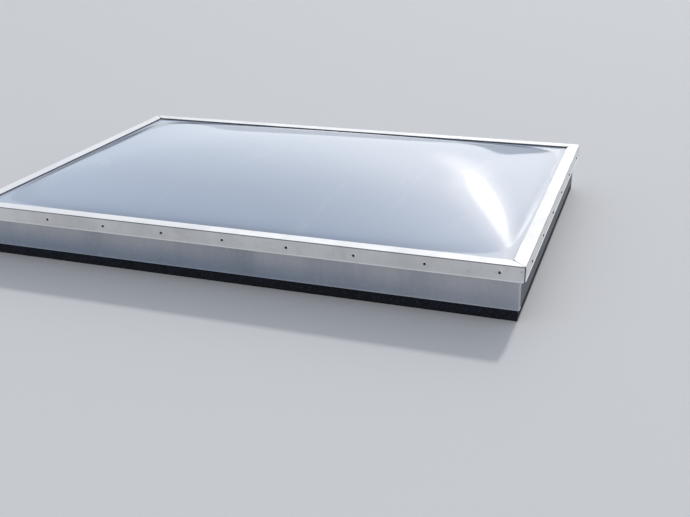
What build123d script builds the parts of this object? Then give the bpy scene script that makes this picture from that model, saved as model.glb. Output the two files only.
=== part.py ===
from build123d import *
from math import cos, radians, sin
import os

os.makedirs("parts", exist_ok=True)

# A fixed, curb-mounted roof skylight: a double acrylic dome held down on a timber curb
# by a mitred aluminium retainer. The origin is at the middle of the underside, with the
# long front side towards -Y. An inset is a distance inwards from the skirt's outer face.

# Overall size over the retainer's skirt
length = 1924
width = 1264

# Timber curb
board_height = 140
board_thickness = 38
board_screw_length = 75
board_screw_margin = 25
board_screw_count = 3

# Layers between the curb and the top of the retainer
curb_seal_thickness = 6
sill_height = 15.5
pad_thickness = 3
inner_sheet = 3
spacer_thickness = 3
outer_sheet = 4.5
tape_thickness = 3

# Retainer angle
retainer_wall = 3
retainer_flange = 41
retainer_skirt = 50
retainer_bend = 1.5
bead = 1
bead_height = 3.5
mitre_gap = 0.4
mitre_opening = 1.1

# Corner keys and their rivets
key_wall = 2
key_leg = 36
key_height = 34
key_drop = 2
key_bend = 1
rivet_margin = 9
rivet_drop = 15
rivet_radius = 2
rivet_head_radius = 3.4
rivet_head_height = 1
rivet_tail_radius = 2.4
rivet_tail_height = 0.9

# Inner frame extrusion
leg_width = 10
leg_drop = 12
frame_wall = 2
fixing_leg = 30
gutter_width = 20
gutter_height = 10

# Cladding, felt upstand and nails
sheet = 1
cladding_foot = 36
cladding_top_gap = 4
cladding_return = 26
cladding_bend = 2.5
cladding_lap = 20
drip_out = 2.5
drip_height = 3
felt = 4
nail_height = 11
nail_spacing = 5
nail_length = 30
nail_radius = 1.25
nail_head_radius = 3
nail_head_height = 1

# Domes
dome_rise = 80
inner_dome_rise = 60
foot_level = 0.024
foot_inset = 49
foot_radius = 12
flange_corner_radius = 8

# Set-back of the seals from the edges that they seal
seal_set_back = 4

# Retainer screws and their washers
screw_drop = 25
screw_length = 14
screw_radius = 2.1
screw_head_radius = 4.6
screw_head_height = 2.6
screw_head_chamfer = 1.2
screw_recess = 3
screw_recess_depth = 1.6
washer_radius = 6.5
washer_thickness = 1.5
washer_taper = 20
long_row_pitch = 218
short_row_pitch = 210
row_margin = 60
front_row_shift = 18

# Frame screws
frame_screw_length = 30
frame_screw_pitch = 300
frame_screw_margin = 100

# Clearances
fit_gap = 0.5
glazing_play = 1.5
hole_gap = 0.2

# Heights above the roof
sill_bottom = board_height + curb_seal_thickness
sill_top = sill_bottom + sill_height
inner_bottom = sill_top + pad_thickness
inner_top = inner_bottom + inner_sheet
outer_bottom = inner_top + spacer_thickness
outer_top = outer_bottom + outer_sheet
flange_bottom = outer_top + tape_thickness
frame_top = flange_bottom + retainer_wall
skirt_bottom = frame_top - retainer_skirt
leg_bottom = sill_bottom - leg_drop
fixing_leg_bottom = sill_bottom - fixing_leg
cladding_top = sill_bottom - cladding_top_gap
screw_height = frame_top - screw_drop
rivet_height = frame_top - rivet_drop
frame_screw_height = sill_bottom - fixing_leg / 2
board_screw_step = (board_height - 2 * board_screw_margin) / (board_screw_count - 1)
board_screw_levels = [board_screw_margin + i * board_screw_step for i in range(board_screw_count)]

# Insets
leg_inset = retainer_wall + key_wall + fit_gap
sill_inset = leg_inset + leg_width
glazing_inset = leg_inset + glazing_play
cladding_inset = sill_inset + fit_gap
side_cladding_inset = cladding_inset + sheet
felt_inset = side_cladding_inset + sheet
board_inset = felt_inset + felt
curb_inside = board_inset + board_thickness
gutter_inset = curb_inside + frame_wall
light_inset = gutter_inset + gutter_width
board_screw_inset = board_inset + board_thickness / 2
nail_inset = board_screw_inset - nail_spacing
seal_outside = glazing_inset + seal_set_back
seal_inside = retainer_flange - seal_set_back

SIDES = ("front", "right", "back", "left")
LONG_SIDES = ("front", "back")
INWARD = {"front": (0, 1), "right": (-1, 0), "back": (0, -1), "left": (1, 0)}


def run(side):
    """Length of the skirt along a side."""
    return length if side in LONG_SIDES else width


def reach(side):
    """Distance from the middle of the skylight to a side's skirt."""
    return (width if side in LONG_SIDES else length) / 2


def section_plane(side):
    """Plane across the middle of a side: x is the inset and y the height."""
    ix, iy = INWARD[side]
    return Plane(origin=(-ix * reach(side), -iy * reach(side), 0), x_dir=(ix, iy, 0), z_dir=(iy, -ix, 0))


def outside_plane(side, inset, height):
    """Upright plane on a side that faces outwards: x runs along the side."""
    section = section_plane(side)
    origin = section.origin + section.x_dir * inset + section.y_dir * height
    return Plane(origin=origin, x_dir=section.z_dir, z_dir=-section.x_dir)


def inside_plane(side, inset, height):
    """Upright plane on a side that faces the light opening: x runs along the side."""
    outside = outside_plane(side, inset, height)
    return Plane(origin=outside.origin, x_dir=-outside.x_dir, z_dir=-outside.z_dir)


def row(span, pitch, shift=0):
    """As many evenly spaced places as a span holds, about the middle of a side."""
    count = int(span // pitch) + 1
    return [(shift + (i - (count - 1) / 2) * pitch, 0) for i in range(count)]


def ends(distance):
    """Two places, one near each end of a side."""
    return [(-distance, 0), (distance, 0)]


def nail_level(side):
    """Height of a side's nails: those that cross the curb screws pass midway between two."""
    if side in LONG_SIDES:
        return cladding_foot + nail_height
    return (board_screw_levels[-1] + board_screw_levels[-2]) / 2


def retainer_screw_places(side):
    """Places of the retainer screws, whose front row stands nearer its right-hand end."""
    shift = front_row_shift if side == "front" else 0
    pitch = long_row_pitch if side in LONG_SIDES else short_row_pitch
    return row(run(side) - 2 * (row_margin + shift), pitch, shift)


def frame_screw_places(side):
    """Places of the screws through the fixing leg."""
    return row(run(side) - 2 * (curb_inside + frame_screw_margin), frame_screw_pitch)


def finish(part, name):
    """Label a finished piece and write it."""
    part.label = name
    export_step(part, f"parts/{name}.step")


def drill(plane, places, radius, depth):
    """Round holes into a side, from a plane that faces out of the material."""
    with BuildSketch(plane) as holes:
        with Locations(*places):
            Circle(radius)
    extrude(holes.sketch, amount=-depth, mode=Mode.SUBTRACT)


def cut_mitres(side, gap=0, opening=0):
    """Cut both ends of a side to its corners, with a joint that opens inwards by an angle."""
    section = section_plane(side)
    turn = radians(45 + opening)
    for end in (1, -1):
        corner = section.origin + section.z_dir * (end * run(side) / 2)
        outwards = section.x_dir * sin(turn) + section.z_dir * (end * cos(turn))
        split(bisect_by=Plane(origin=corner - outwards * (gap / 2), z_dir=outwards), keep=Keep.BOTTOM)


def ring(bottom, thickness, outside, inside):
    """Flat ring that runs round the frame between two insets."""
    with BuildPart() as piece:
        with BuildSketch(Plane.XY.offset(bottom)):
            Rectangle(length - 2 * outside, width - 2 * outside)
            Rectangle(length - 2 * inside, width - 2 * inside, mode=Mode.SUBTRACT)
        extrude(amount=thickness)
    return piece.part


# Retainer: a flange over the glazing and a skirt down the outside, with a bead at its foot


def retainer(side):
    with BuildPart() as rail:
        with BuildSketch(section_plane(side)) as section:
            with BuildLine():
                Polyline(
                    (0, frame_top),
                    (retainer_flange, frame_top),
                    (retainer_flange, flange_bottom),
                    (retainer_wall, flange_bottom),
                    (retainer_wall, skirt_bottom),
                    (-bead, skirt_bottom),
                    (-bead, skirt_bottom + bead_height - bead),
                    (0, skirt_bottom + bead_height),
                    close=True,
                )
            make_face()
            fillet(section.vertices().group_by(Axis.Y)[-1].sort_by(Axis.X)[0], retainer_bend)
        extrude(amount=run(side) / 2 + retainer_flange, both=True)
        cut_mitres(side, mitre_gap, mitre_opening)
        face = outside_plane(side, 0, screw_height)
        drill(face, retainer_screw_places(side), screw_radius + hole_gap, retainer_wall)
        face = outside_plane(side, 0, rivet_height)
        drill(face, ends(run(side) / 2 - rivet_margin), rivet_radius + hole_gap, retainer_wall)
    return rail.part


for side in SIDES:
    finish(retainer(side), f"retainer_{side}")


# Corner keys: bent plates behind the skirt, one in each corner


def corner_key(sign_x, sign_y):
    bottom = flange_bottom - key_drop - key_height
    corner_x = sign_x * (length / 2 - retainer_wall)
    corner_y = sign_y * (width / 2 - retainer_wall)
    with BuildPart() as key:
        with BuildSketch(Plane.XY.offset(bottom)) as plan:
            with BuildLine():
                Polyline(
                    (corner_x, corner_y),
                    (corner_x - sign_x * key_leg, corner_y),
                    (corner_x - sign_x * key_leg, corner_y - sign_y * key_wall),
                    (corner_x - sign_x * key_wall, corner_y - sign_y * key_wall),
                    (corner_x - sign_x * key_wall, corner_y - sign_y * key_leg),
                    (corner_x, corner_y - sign_y * key_leg),
                    close=True,
                )
            make_face()
            fillet(plan.vertices().sort_by_distance((corner_x, corner_y))[0], key_bend)
        extrude(amount=key_height)
        for side in SIDES:
            face = outside_plane(side, 0, rivet_height)
            places = ends(run(side) / 2 - rivet_margin)
            drill(face, places, rivet_radius + hole_gap, retainer_wall + key_wall)
    return key.part


for end, sign_y in (("front", -1), ("back", 1)):
    for hand, sign_x in (("left", -1), ("right", 1)):
        finish(corner_key(sign_x, sign_y), f"corner_key_{end}_{hand}")


# Fasteners, drawn once with the underside of the head at the origin and the shank downwards

with BuildPart() as rivet:
    with BuildSketch(Plane.XZ):
        with BuildLine():
            crown = (0, rivet_head_height)
            head_rim = (rivet_head_radius, 0)
            TangentArc(crown, head_rim, tangent=(1, 0))
            Polyline(
                crown,
                (0, -retainer_wall - key_wall - rivet_tail_height),
                (rivet_tail_radius, -retainer_wall - key_wall - rivet_tail_height),
                (rivet_tail_radius, -retainer_wall - key_wall),
                (rivet_radius, -retainer_wall - key_wall),
                (rivet_radius, 0),
                head_rim,
            )
        make_face()
    revolve(axis=Axis.Z)

with BuildPart() as retainer_screw:
    Cylinder(screw_head_radius, screw_head_height, align=(Align.CENTER, Align.CENTER, Align.MIN))
    chamfer(retainer_screw.faces().sort_by(Axis.Z)[-1].edges(), screw_head_chamfer)
    Cylinder(screw_radius, screw_length, align=(Align.CENTER, Align.CENTER, Align.MAX))
    with BuildSketch(Plane.XY.offset(screw_head_height)):
        Rectangle(screw_recess, screw_recess)
    extrude(amount=-screw_recess_depth, mode=Mode.SUBTRACT)

with BuildPart() as washer:
    with BuildSketch():
        Circle(washer_radius)
        Circle(screw_radius + hole_gap, mode=Mode.SUBTRACT)
    extrude(amount=washer_thickness, taper=washer_taper)

with BuildPart() as frame_screw:
    Cylinder(screw_head_radius, screw_head_height, align=(Align.CENTER, Align.CENTER, Align.MIN))
    Cylinder(screw_radius, frame_screw_length, align=(Align.CENTER, Align.CENTER, Align.MAX))

with BuildPart() as board_screw:
    Cone(screw_radius, screw_head_radius, screw_head_height, align=(Align.CENTER, Align.CENTER, Align.MAX))
    Cylinder(screw_radius, board_screw_length, align=(Align.CENTER, Align.CENTER, Align.MAX))

with BuildPart() as nail:
    Cylinder(nail_head_radius, nail_head_height, align=(Align.CENTER, Align.CENTER, Align.MIN))
    Cylinder(nail_radius, nail_length, align=(Align.CENTER, Align.CENTER, Align.MAX))


for side in SIDES:
    places = retainer_screw_places(side)
    with BuildPart(outside_plane(side, -washer_thickness, screw_height)) as screws:
        with Locations(*places):
            add(retainer_screw.part)
    finish(screws.part, f"retainer_screws_{side}")
    with BuildPart(outside_plane(side, 0, screw_height)) as washers:
        with Locations(*places):
            add(washer.part)
    finish(washers.part, f"screw_washers_{side}")

with BuildPart() as rivets:
    for side in SIDES:
        with Locations(outside_plane(side, 0, rivet_height)):
            with Locations(*ends(run(side) / 2 - rivet_margin)):
                add(rivet.part)
finish(rivets.part, "corner_rivets")

with BuildPart() as frame_screws:
    for side in SIDES:
        with Locations(inside_plane(side, gutter_inset, frame_screw_height)):
            with Locations(*frame_screw_places(side)):
                add(frame_screw.part)
finish(frame_screws.part, "frame_screws")


# Domes: acrylic sheets blown from a flat flange. Along each axis the height falls off as
# 1 - x^2, whose three control points have these weights. The foot is where the product of
# the two falls to the foot level.

foot_share = (1 - foot_level) ** 0.5
half_x = (length / 2 - foot_inset) / foot_share
half_y = (width / 2 - foot_inset) / foot_share
weights = {-1: 0, 0: 2, 1: 0}


def pillow(height, rise):
    """Blown surface that leaves a height along the dome's rounded foot."""
    full_rise = rise / (1 - foot_level)
    points = []
    for step_x, weight_x in weights.items():
        line = []
        for step_y, weight_y in weights.items():
            z = height + full_rise * (weight_x * weight_y - foot_level)
            line.append((half_x * step_x, half_y * step_y, z))
        points.append(line)
    return Face.make_bezier_surface(points)


def blown_dome(bottom, thickness, rise):
    """Sheet of acrylic with a flat flange, a blown middle and a rounded foot between them."""
    top = bottom + thickness
    with BuildPart() as dome:
        with BuildSketch(Plane.XY.offset(bottom)):
            RectangleRounded(length - 2 * glazing_inset, width - 2 * glazing_inset, flange_corner_radius)
        extrude(amount=thickness)
        extrude(to_extrude=pillow(top, rise), amount=rise, dir=(0, 0, -1))
        split(bisect_by=Plane.XY.offset(bottom), keep=Keep.TOP)
        extrude(to_extrude=pillow(bottom, rise), amount=2 * rise, dir=(0, 0, -1), mode=Mode.SUBTRACT)
        fillet(dome.edges().filter_by(GeomType.BSPLINE), foot_radius)
    return dome.part


finish(blown_dome(outer_bottom, outer_sheet, dome_rise), "outer_dome")
finish(blown_dome(inner_bottom, inner_sheet, inner_dome_rise), "inner_dome")

# Seals between the layers

finish(ring(outer_top, tape_thickness, seal_outside, seal_inside), "glazing_tape")
finish(ring(inner_top, spacer_thickness, seal_outside, seal_inside), "dome_spacer")
finish(ring(sill_top, pad_thickness, seal_outside, seal_inside), "glazing_gasket")
finish(ring(board_height, curb_seal_thickness, board_inset, curb_inside), "curb_gasket")


# Inner frame: a hollow sill on the curb, a leg outside it, a fixing leg and a gutter inside


def inner_frame(side):
    leg_chamber = (leg_inset, sill_inset, leg_bottom, sill_top)
    web = (sill_inset + curb_inside) / 2
    outer_chamber = (sill_inset - frame_wall, web + frame_wall / 2, sill_bottom, sill_top)
    inner_chamber = (web - frame_wall / 2, gutter_inset, sill_bottom, sill_top)
    with BuildPart() as rail:
        with BuildSketch(section_plane(side)):
            with BuildLine():
                Polyline(
                    (leg_inset, sill_top),
                    (gutter_inset, sill_top),
                    (gutter_inset, sill_bottom + frame_wall),
                    (light_inset - frame_wall, sill_bottom + frame_wall),
                    (light_inset - frame_wall, sill_bottom + gutter_height),
                    (light_inset, sill_bottom + gutter_height),
                    (light_inset, sill_bottom),
                    (gutter_inset, sill_bottom),
                    (gutter_inset, fixing_leg_bottom),
                    (curb_inside, fixing_leg_bottom),
                    (curb_inside, sill_bottom),
                    (sill_inset, sill_bottom),
                    (sill_inset, leg_bottom),
                    (leg_inset, leg_bottom),
                    close=True,
                )
            make_face()
            for left, right, low, high in (leg_chamber, outer_chamber, inner_chamber):
                with Locations(((left + right) / 2, (low + high) / 2)):
                    Rectangle(right - left - 2 * frame_wall, high - low - 2 * frame_wall, mode=Mode.SUBTRACT)
        extrude(amount=run(side) / 2, both=True)
        cut_mitres(side)
        face = outside_plane(side, leg_inset, screw_height)
        drill(face, retainer_screw_places(side), screw_radius + hole_gap, frame_wall)
        face = inside_plane(side, gutter_inset, frame_screw_height)
        drill(face, frame_screw_places(side), screw_radius + hole_gap, frame_wall)
    return rail.part


for side in SIDES:
    finish(inner_frame(side), f"inner_frame_{side}")


# Curb: the long boards run through and the short ones are screwed between them


def strip_along(side, inset, thickness, bottom, top, strip_length):
    """Straight strip along a side between two heights."""
    with BuildSketch(section_plane(side)) as section:
        with Locations((inset, bottom)):
            Rectangle(thickness, top - bottom, align=(Align.MIN, Align.MIN))
    extrude(section.sketch, amount=strip_length / 2, both=True)


board_screw_x = length / 2 - board_screw_inset
board_screw_places = [(x, z) for x in (-board_screw_x, board_screw_x) for z in board_screw_levels]
nail_places = {side: ends(run(side) / 2 - nail_inset) for side in SIDES}


def curb_board(side):
    inset = board_inset if side in LONG_SIDES else curb_inside
    with BuildPart() as board:
        strip_along(side, board_inset, board_thickness, 0, board_height, run(side) - 2 * inset)
        face = inside_plane(side, curb_inside, frame_screw_height)
        drill(face, frame_screw_places(side), screw_radius + hole_gap, frame_screw_length - frame_wall)
        for end in LONG_SIDES:
            face = outside_plane(end, board_inset, 0)
            drill(face, board_screw_places, screw_radius + hole_gap, board_screw_length + hole_gap)
            if side == end:
                with Locations(face):
                    with Locations(*board_screw_places):
                        CounterSinkHole(screw_radius + hole_gap, screw_head_radius + hole_gap)
        for end in SIDES:
            face = outside_plane(end, board_inset, nail_level(end))
            depth = cladding_inset + nail_length + hole_gap - board_inset
            drill(face, nail_places[end], nail_radius + hole_gap, depth)
    return board.part


for side in SIDES:
    finish(curb_board(side), f"curb_board_{side}")

with BuildPart() as board_screws:
    for side in LONG_SIDES:
        with Locations(outside_plane(side, board_inset, 0)):
            with Locations(*board_screw_places):
                add(board_screw.part)
finish(board_screws.part, "curb_screws")


# Felt upstand: a strip of roofing felt up each side of the curb


def felt_upstand(side):
    inset = felt_inset if side in LONG_SIDES else board_inset
    with BuildPart() as strip:
        strip_along(side, felt_inset, felt, 0, board_height, run(side) - 2 * inset)
        face = outside_plane(side, felt_inset, nail_level(side))
        drill(face, nail_places[side], nail_radius + hole_gap, felt)
    return strip.part


for side in SIDES:
    finish(felt_upstand(side), f"felt_upstand_{side}")


# Cladding: the long sheets are folded round the corners, over the ends of the short ones


def cladding_section(plane):
    """Sheet with a drip at its foot: x is the depth into the sheet and y the height."""
    with BuildSketch(plane) as section:
        with BuildLine():
            Polyline(
                (0, cladding_top),
                (sheet, cladding_top),
                (sheet, cladding_foot + drip_height),
                (sheet - drip_out, cladding_foot),
                (-drip_out, cladding_foot),
                (0, cladding_foot + drip_height),
                close=True,
            )
        make_face()
    return section.sketch


def drill_for_nails(sides):
    for side in sides:
        face = outside_plane(side, cladding_inset, nail_level(side))
        drill(face, nail_places[side], nail_radius + hole_gap, 2 * sheet)


def folded_cladding(side):
    section = section_plane(side)
    half = run(side) / 2 - cladding_inset
    corners = [
        section.origin + section.x_dir * (cladding_inset + depth) + section.z_dir * along
        for depth, along in ((cladding_return, -half), (0, -half), (0, half), (cladding_return, half))
    ]
    with BuildPart() as cladding:
        with BuildLine() as path:
            FilletPolyline(*corners, radius=cladding_bend)
        start = Plane(origin=corners[0], x_dir=section.z_dir, z_dir=-section.x_dir)
        sweep(cladding_section(start), path=path.line)
        drill_for_nails(SIDES)
    return cladding.part


def flat_cladding(side):
    half = run(side) / 2 - cladding_inset - cladding_return + cladding_lap
    section = section_plane(side)
    with BuildPart() as cladding:
        middle = section.shift_origin(section.origin + section.x_dir * side_cladding_inset)
        extrude(cladding_section(middle), amount=half, both=True)
        drill_for_nails((side,))
    return cladding.part


for side in SIDES:
    cladding = folded_cladding(side) if side in LONG_SIDES else flat_cladding(side)
    finish(cladding, f"cladding_{side}")

with BuildPart() as nails:
    for side in SIDES:
        with Locations(outside_plane(side, cladding_inset, nail_level(side))):
            with Locations(*nail_places[side]):
                add(nail.part)
finish(nails.part, "cladding_nails")
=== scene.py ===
import math
import random

import bmesh
import bpy
from mathutils import Matrix, Vector, noise


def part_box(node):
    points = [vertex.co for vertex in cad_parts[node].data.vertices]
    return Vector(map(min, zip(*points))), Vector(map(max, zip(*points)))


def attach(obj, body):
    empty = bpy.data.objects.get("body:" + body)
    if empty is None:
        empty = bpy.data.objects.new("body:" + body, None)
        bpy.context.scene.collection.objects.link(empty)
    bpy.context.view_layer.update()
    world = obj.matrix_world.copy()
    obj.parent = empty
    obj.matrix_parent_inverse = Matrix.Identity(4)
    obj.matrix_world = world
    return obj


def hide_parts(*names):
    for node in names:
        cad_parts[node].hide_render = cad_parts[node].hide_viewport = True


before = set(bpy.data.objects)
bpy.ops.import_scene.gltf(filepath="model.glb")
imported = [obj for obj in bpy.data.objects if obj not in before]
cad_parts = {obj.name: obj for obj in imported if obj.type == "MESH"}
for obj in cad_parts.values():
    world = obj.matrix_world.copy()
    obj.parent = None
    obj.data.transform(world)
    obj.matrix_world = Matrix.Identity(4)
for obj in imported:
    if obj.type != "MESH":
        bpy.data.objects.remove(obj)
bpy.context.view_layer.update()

# A fixed roof skylight. Lengths are in metres, +X runs along the long side, -Y is the front
# and the roof is at height 0. An inset is a distance inwards from the skirt's outer face.

SIDES = ("front", "right", "back", "left")
LONG_SIDES = ("front", "back")
INWARD = {"front": (0, 1), "right": (-1, 0), "back": (0, -1), "left": (1, 0)}
CORNERS = ((-1, -1), (1, -1), (1, 1), (-1, 1))
MM = 0.001

# Sizes read from the frame
flange_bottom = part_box("glazing_tape")[1].z
key_low, key_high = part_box("corner_key_front_right")
rail_low, rail_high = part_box("retainer_front")
cladding_low, cladding_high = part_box("cladding_front")
side_cladding_low, side_cladding_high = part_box("cladding_right")
felt_low, felt_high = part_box("felt_upstand_front")
side_felt_low, side_felt_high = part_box("felt_upstand_right")
board_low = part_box("curb_board_right")[0]

retainer_wall = rail_high.z - flange_bottom
half_length = key_high.x + retainer_wall
half_width = -key_low.y + retainer_wall
frame_top = rail_high.z
skirt_bottom = rail_low.z
retainer_flange = half_width + rail_high.y
bead = -half_width - rail_low.y
curb_inside = half_length - board_low.x

# Shape of the domes: along each axis the height falls off as 1 - x^2, down to the foot level
foot_level = 0.024
foot_inset = 49 * MM
foot_softness = 0.25 * MM
lip_height = 5 * MM
lip_spread = 5 * MM
foot_share = (1 - foot_level) ** 0.5
pillow_x = (half_length - foot_inset) / foot_share
pillow_y = (half_width - foot_inset) / foot_share


def on_side(side, along, inset, height):
    """Point on a side: along runs to the right when that side is seen from outside."""
    inward_x, inward_y = INWARD[side]
    reach = half_width if side in LONG_SIDES else half_length
    x = inward_x * (inset - reach) + inward_y * along
    y = inward_y * (inset - reach) - inward_x * along
    return Vector((x, y, height))


def linear(value):
    """Linear light from a value that a screen shows, 0 to 255."""
    share = value / 255
    return ((share + 0.055) / 1.055) ** 2.4 if value > 10 else share / 12.92


def colour(red, green, blue):
    return linear(red), linear(green), linear(blue)


def toned(shade, factor):
    """A colour made darker or lighter."""
    return tuple(part * factor for part in shade)


# Materials: an output of a node behaves like a number in an expression


class Field:
    """A value that varies over a surface."""

    def __init__(self, shading, socket):
        self.shading = shading
        self.socket = socket

    def maths(self, operation, *values):
        settings = {"operation": operation}
        return self.shading.node("ShaderNodeMath", settings, dict(enumerate(values)))

    def __add__(self, other):
        return self.maths("ADD", self, other)

    def __sub__(self, other):
        return self.maths("SUBTRACT", self, other)

    def __rsub__(self, other):
        return self.maths("SUBTRACT", other, self)

    def __mul__(self, other):
        return self.maths("MULTIPLY", self, other)

    def __truediv__(self, other):
        return self.maths("DIVIDE", self, other)

    def __pow__(self, other):
        return self.maths("POWER", self, other)

    def __abs__(self):
        return self.maths("ABSOLUTE", self)

    def fraction(self):
        return self.maths("FRACT", self)

    def angle(self):
        return self.maths("ARCCOSINE", self)

    def most(self, other):
        return self.maths("MAXIMUM", self, other)

    def ramp(self, low, high, start=0.0, end=1.0):
        """Goes smoothly from start to end while this value goes from low to high."""
        settings = {"interpolation_type": "SMOOTHSTEP"}
        inputs = {0: self, 1: low, 2: high, 3: start, 4: end}
        return self.shading.node("ShaderNodeMapRange", settings, inputs)

    def fade(self, low, high):
        """Goes smoothly from 1 to 0 while this value goes from low to high."""
        return self.ramp(low, high, 1.0, 0.0)


class Shading:
    """A tree of shader nodes while it is being made."""

    def __init__(self, tree, place):
        self.tree = tree
        self.place = self.node("ShaderNodeTexCoord", output=place)

    def node(self, kind, settings=None, inputs=None, output=0):
        """Makes a node: its settings first, then the values or links of its inputs."""
        made = self.tree.nodes.new(kind)
        for name, value in (settings or {}).items():
            if name == "stops":
                self.set_stops(made.color_ramp, value)
            else:
                setattr(made, name, value)
        self.fill(made, inputs or {})
        return Field(self, made.outputs[output])

    def set_stops(self, ramp, stops):
        while len(ramp.elements) < len(stops):
            ramp.elements.new(1.0)
        for element, (place, shade) in zip(ramp.elements, stops):
            element.position = place
            element.color = (*shade, 1.0)

    def fill(self, made, inputs):
        for name, value in inputs.items():
            socket = made.inputs[name]
            if isinstance(value, Field):
                self.tree.links.new(value.socket, socket)
            elif socket.type == "RGBA":
                socket.default_value = (*value, 1.0)
            else:
                socket.default_value = value

    def axis(self, name, vector=None):
        """One component of the place on the object, or of another vector."""
        inputs = {0: vector or self.place}
        return self.node("ShaderNodeSeparateXYZ", inputs=inputs, output="XYZ".index(name))

    def blend(self, share, first, second):
        """Colour that goes from the first to the second as the share goes from 0 to 1."""
        return self.node("ShaderNodeMix", {"data_type": "RGBA"}, {0: share, 6: first, 7: second}, 2)

    def colours(self, share, *stops):
        return self.node("ShaderNodeValToRGB", {"stops": stops}, {0: share})


class Finish(Shading):
    """A material while it is being made."""

    def __init__(self, name):
        self.material = bpy.data.materials.new(name)
        self.material.use_nodes = True
        super().__init__(self.material.node_tree, "Object")
        self.shader = self.tree.nodes["Principled BSDF"]

    def set(self, **inputs):
        """Sets inputs of the surface shader, named with underscores for spaces."""
        self.fill(self.shader, {name.replace("_", " "): value for name, value in inputs.items()})

    def stretched(self, x, y, z):
        """The place on the object, scaled along each axis."""
        inputs = {0: self.place, 1: (x, y, z)}
        return self.node("ShaderNodeVectorMath", {"operation": "MULTIPLY"}, inputs)

    def drawn_out(self, along_x, along, across):
        """The place scaled by one value along a side and by another across it."""
        return self.stretched(*((along, across, across) if along_x else (across, along, across)))

    def grain(self, scale, detail=3.0, roughness=0.5, vector=None, distortion=0.0):
        """Soft random field from 0 to 1."""
        inputs = {"Vector": vector or self.place, "Scale": scale, "Detail": detail}
        inputs |= {"Roughness": roughness, "Distortion": distortion}
        return self.node("ShaderNodeTexNoise", inputs=inputs)

    def cells(self, scale, vector=None, output="Distance"):
        """Distance to the nearest of many scattered points, or a random colour for each."""
        inputs = {"Vector": vector or self.place, "Scale": scale}
        return self.node("ShaderNodeTexVoronoi", inputs=inputs, output=output)

    def specks(self, scale, size, patches):
        """Fine dots, 1 in a dot and 0 elsewhere, which gather in patches."""
        dots = self.cells(scale).fade(size * 0.3, size)
        return dots * self.grain(patches, 2.0).ramp(0.5, 0.68)

    def facing(self, axis):
        """How much the surface faces along an axis: 1 when it faces along it."""
        return self.axis(axis, self.node("ShaderNodeNewGeometry", output="Normal"))

    def relief(self, height, depth, strength):
        """Fine relief of a depth in metres, given to the surface's normal."""
        inputs = {"Height": height, "Distance": depth, "Strength": strength}
        self.set(Normal=self.node("ShaderNodeBump", inputs=inputs))


def foot_silt_and_painted_reflection(finish):
    """Darker line along the dome's foot, most of it towards the back left: silt that rain leaves,
    and a painted reflection.
    """
    fall_x = 1 - (finish.axis("X") / pillow_x) ** 2.0
    fall_y = 1 - (finish.axis("Y") / pillow_y) ** 2.0
    above_foot = fall_x * fall_y - foot_level
    line = above_foot.ramp(-0.010, 0.006) * above_foot.fade(0.03, 0.085)
    back_left = finish.axis("Y") / half_width - finish.axis("X") / half_length
    return line * back_left.ramp(-0.1, 0.9, 0.12, 1.0)


def opal_acrylic(name, crown, rim, dust):
    """Opal acrylic, blown and polished: lighter where it is stretched, dusty at its foot, and
    darker along its foot with silt and a painted reflection.
    """
    finish = Finish(name)
    across = abs(finish.axis("X")) / half_length
    deep = abs(finish.axis("Y")) / half_width
    edge = across.most(deep)
    film = finish.grain(2.2, 4.0, 0.6, finish.stretched(1.0, 2.4, 1.0))
    trails = finish.grain(7.0, 4.0, 0.62, finish.stretched(1.0, 0.3, 1.0), 0.8)
    dots = finish.specks(170.0, 0.16, 9.0)
    scuffs = finish.grain(60.0, 2.0, 0.5, finish.stretched(1.0, 0.08, 1.0)).ramp(0.68, 0.8)
    settled = edge.ramp(0.86, 0.945) * trails.ramp(0.25, 0.7)
    settled = settled + (across * deep).ramp(0.66, 0.86) * 0.5
    silt_and_painted_reflection = foot_silt_and_painted_reflection(finish) * trails.ramp(0.2, 0.6, 0.7, 1.0)
    washed_in = edge.ramp(0.92, 0.945) * 0.22
    shade = finish.blend((edge + film * 0.3).ramp(0.45, 1.1), crown, rim)
    shade = finish.blend(film.ramp(0.35, 0.7, 0.0, 0.35), shade, toned(rim, 0.93))
    shade = finish.blend(trails.ramp(0.52, 0.78, 0.0, 0.14), shade, dust)
    shade = finish.blend(settled * 0.3, shade, toned(dust, 0.72))
    shade = finish.blend(dots * 0.35, shade, colour(132, 128, 120))
    # Silt and a painted reflection darken the dome's foot
    shade = finish.blend(silt_and_painted_reflection * 0.62, shade, colour(92, 95, 100))
    roughness = film.ramp(0.3, 0.75, 0.035, 0.06) + washed_in
    roughness = roughness + dots * 0.2 + settled * 0.06 + scuffs * 0.03
    finish.set(Base_Color=shade, Roughness=roughness, IOR=1.49)
    finish.relief(finish.grain(3.2, 2.0, 0.5), 0.6 * MM, 0.3)
    return finish.material


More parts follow.
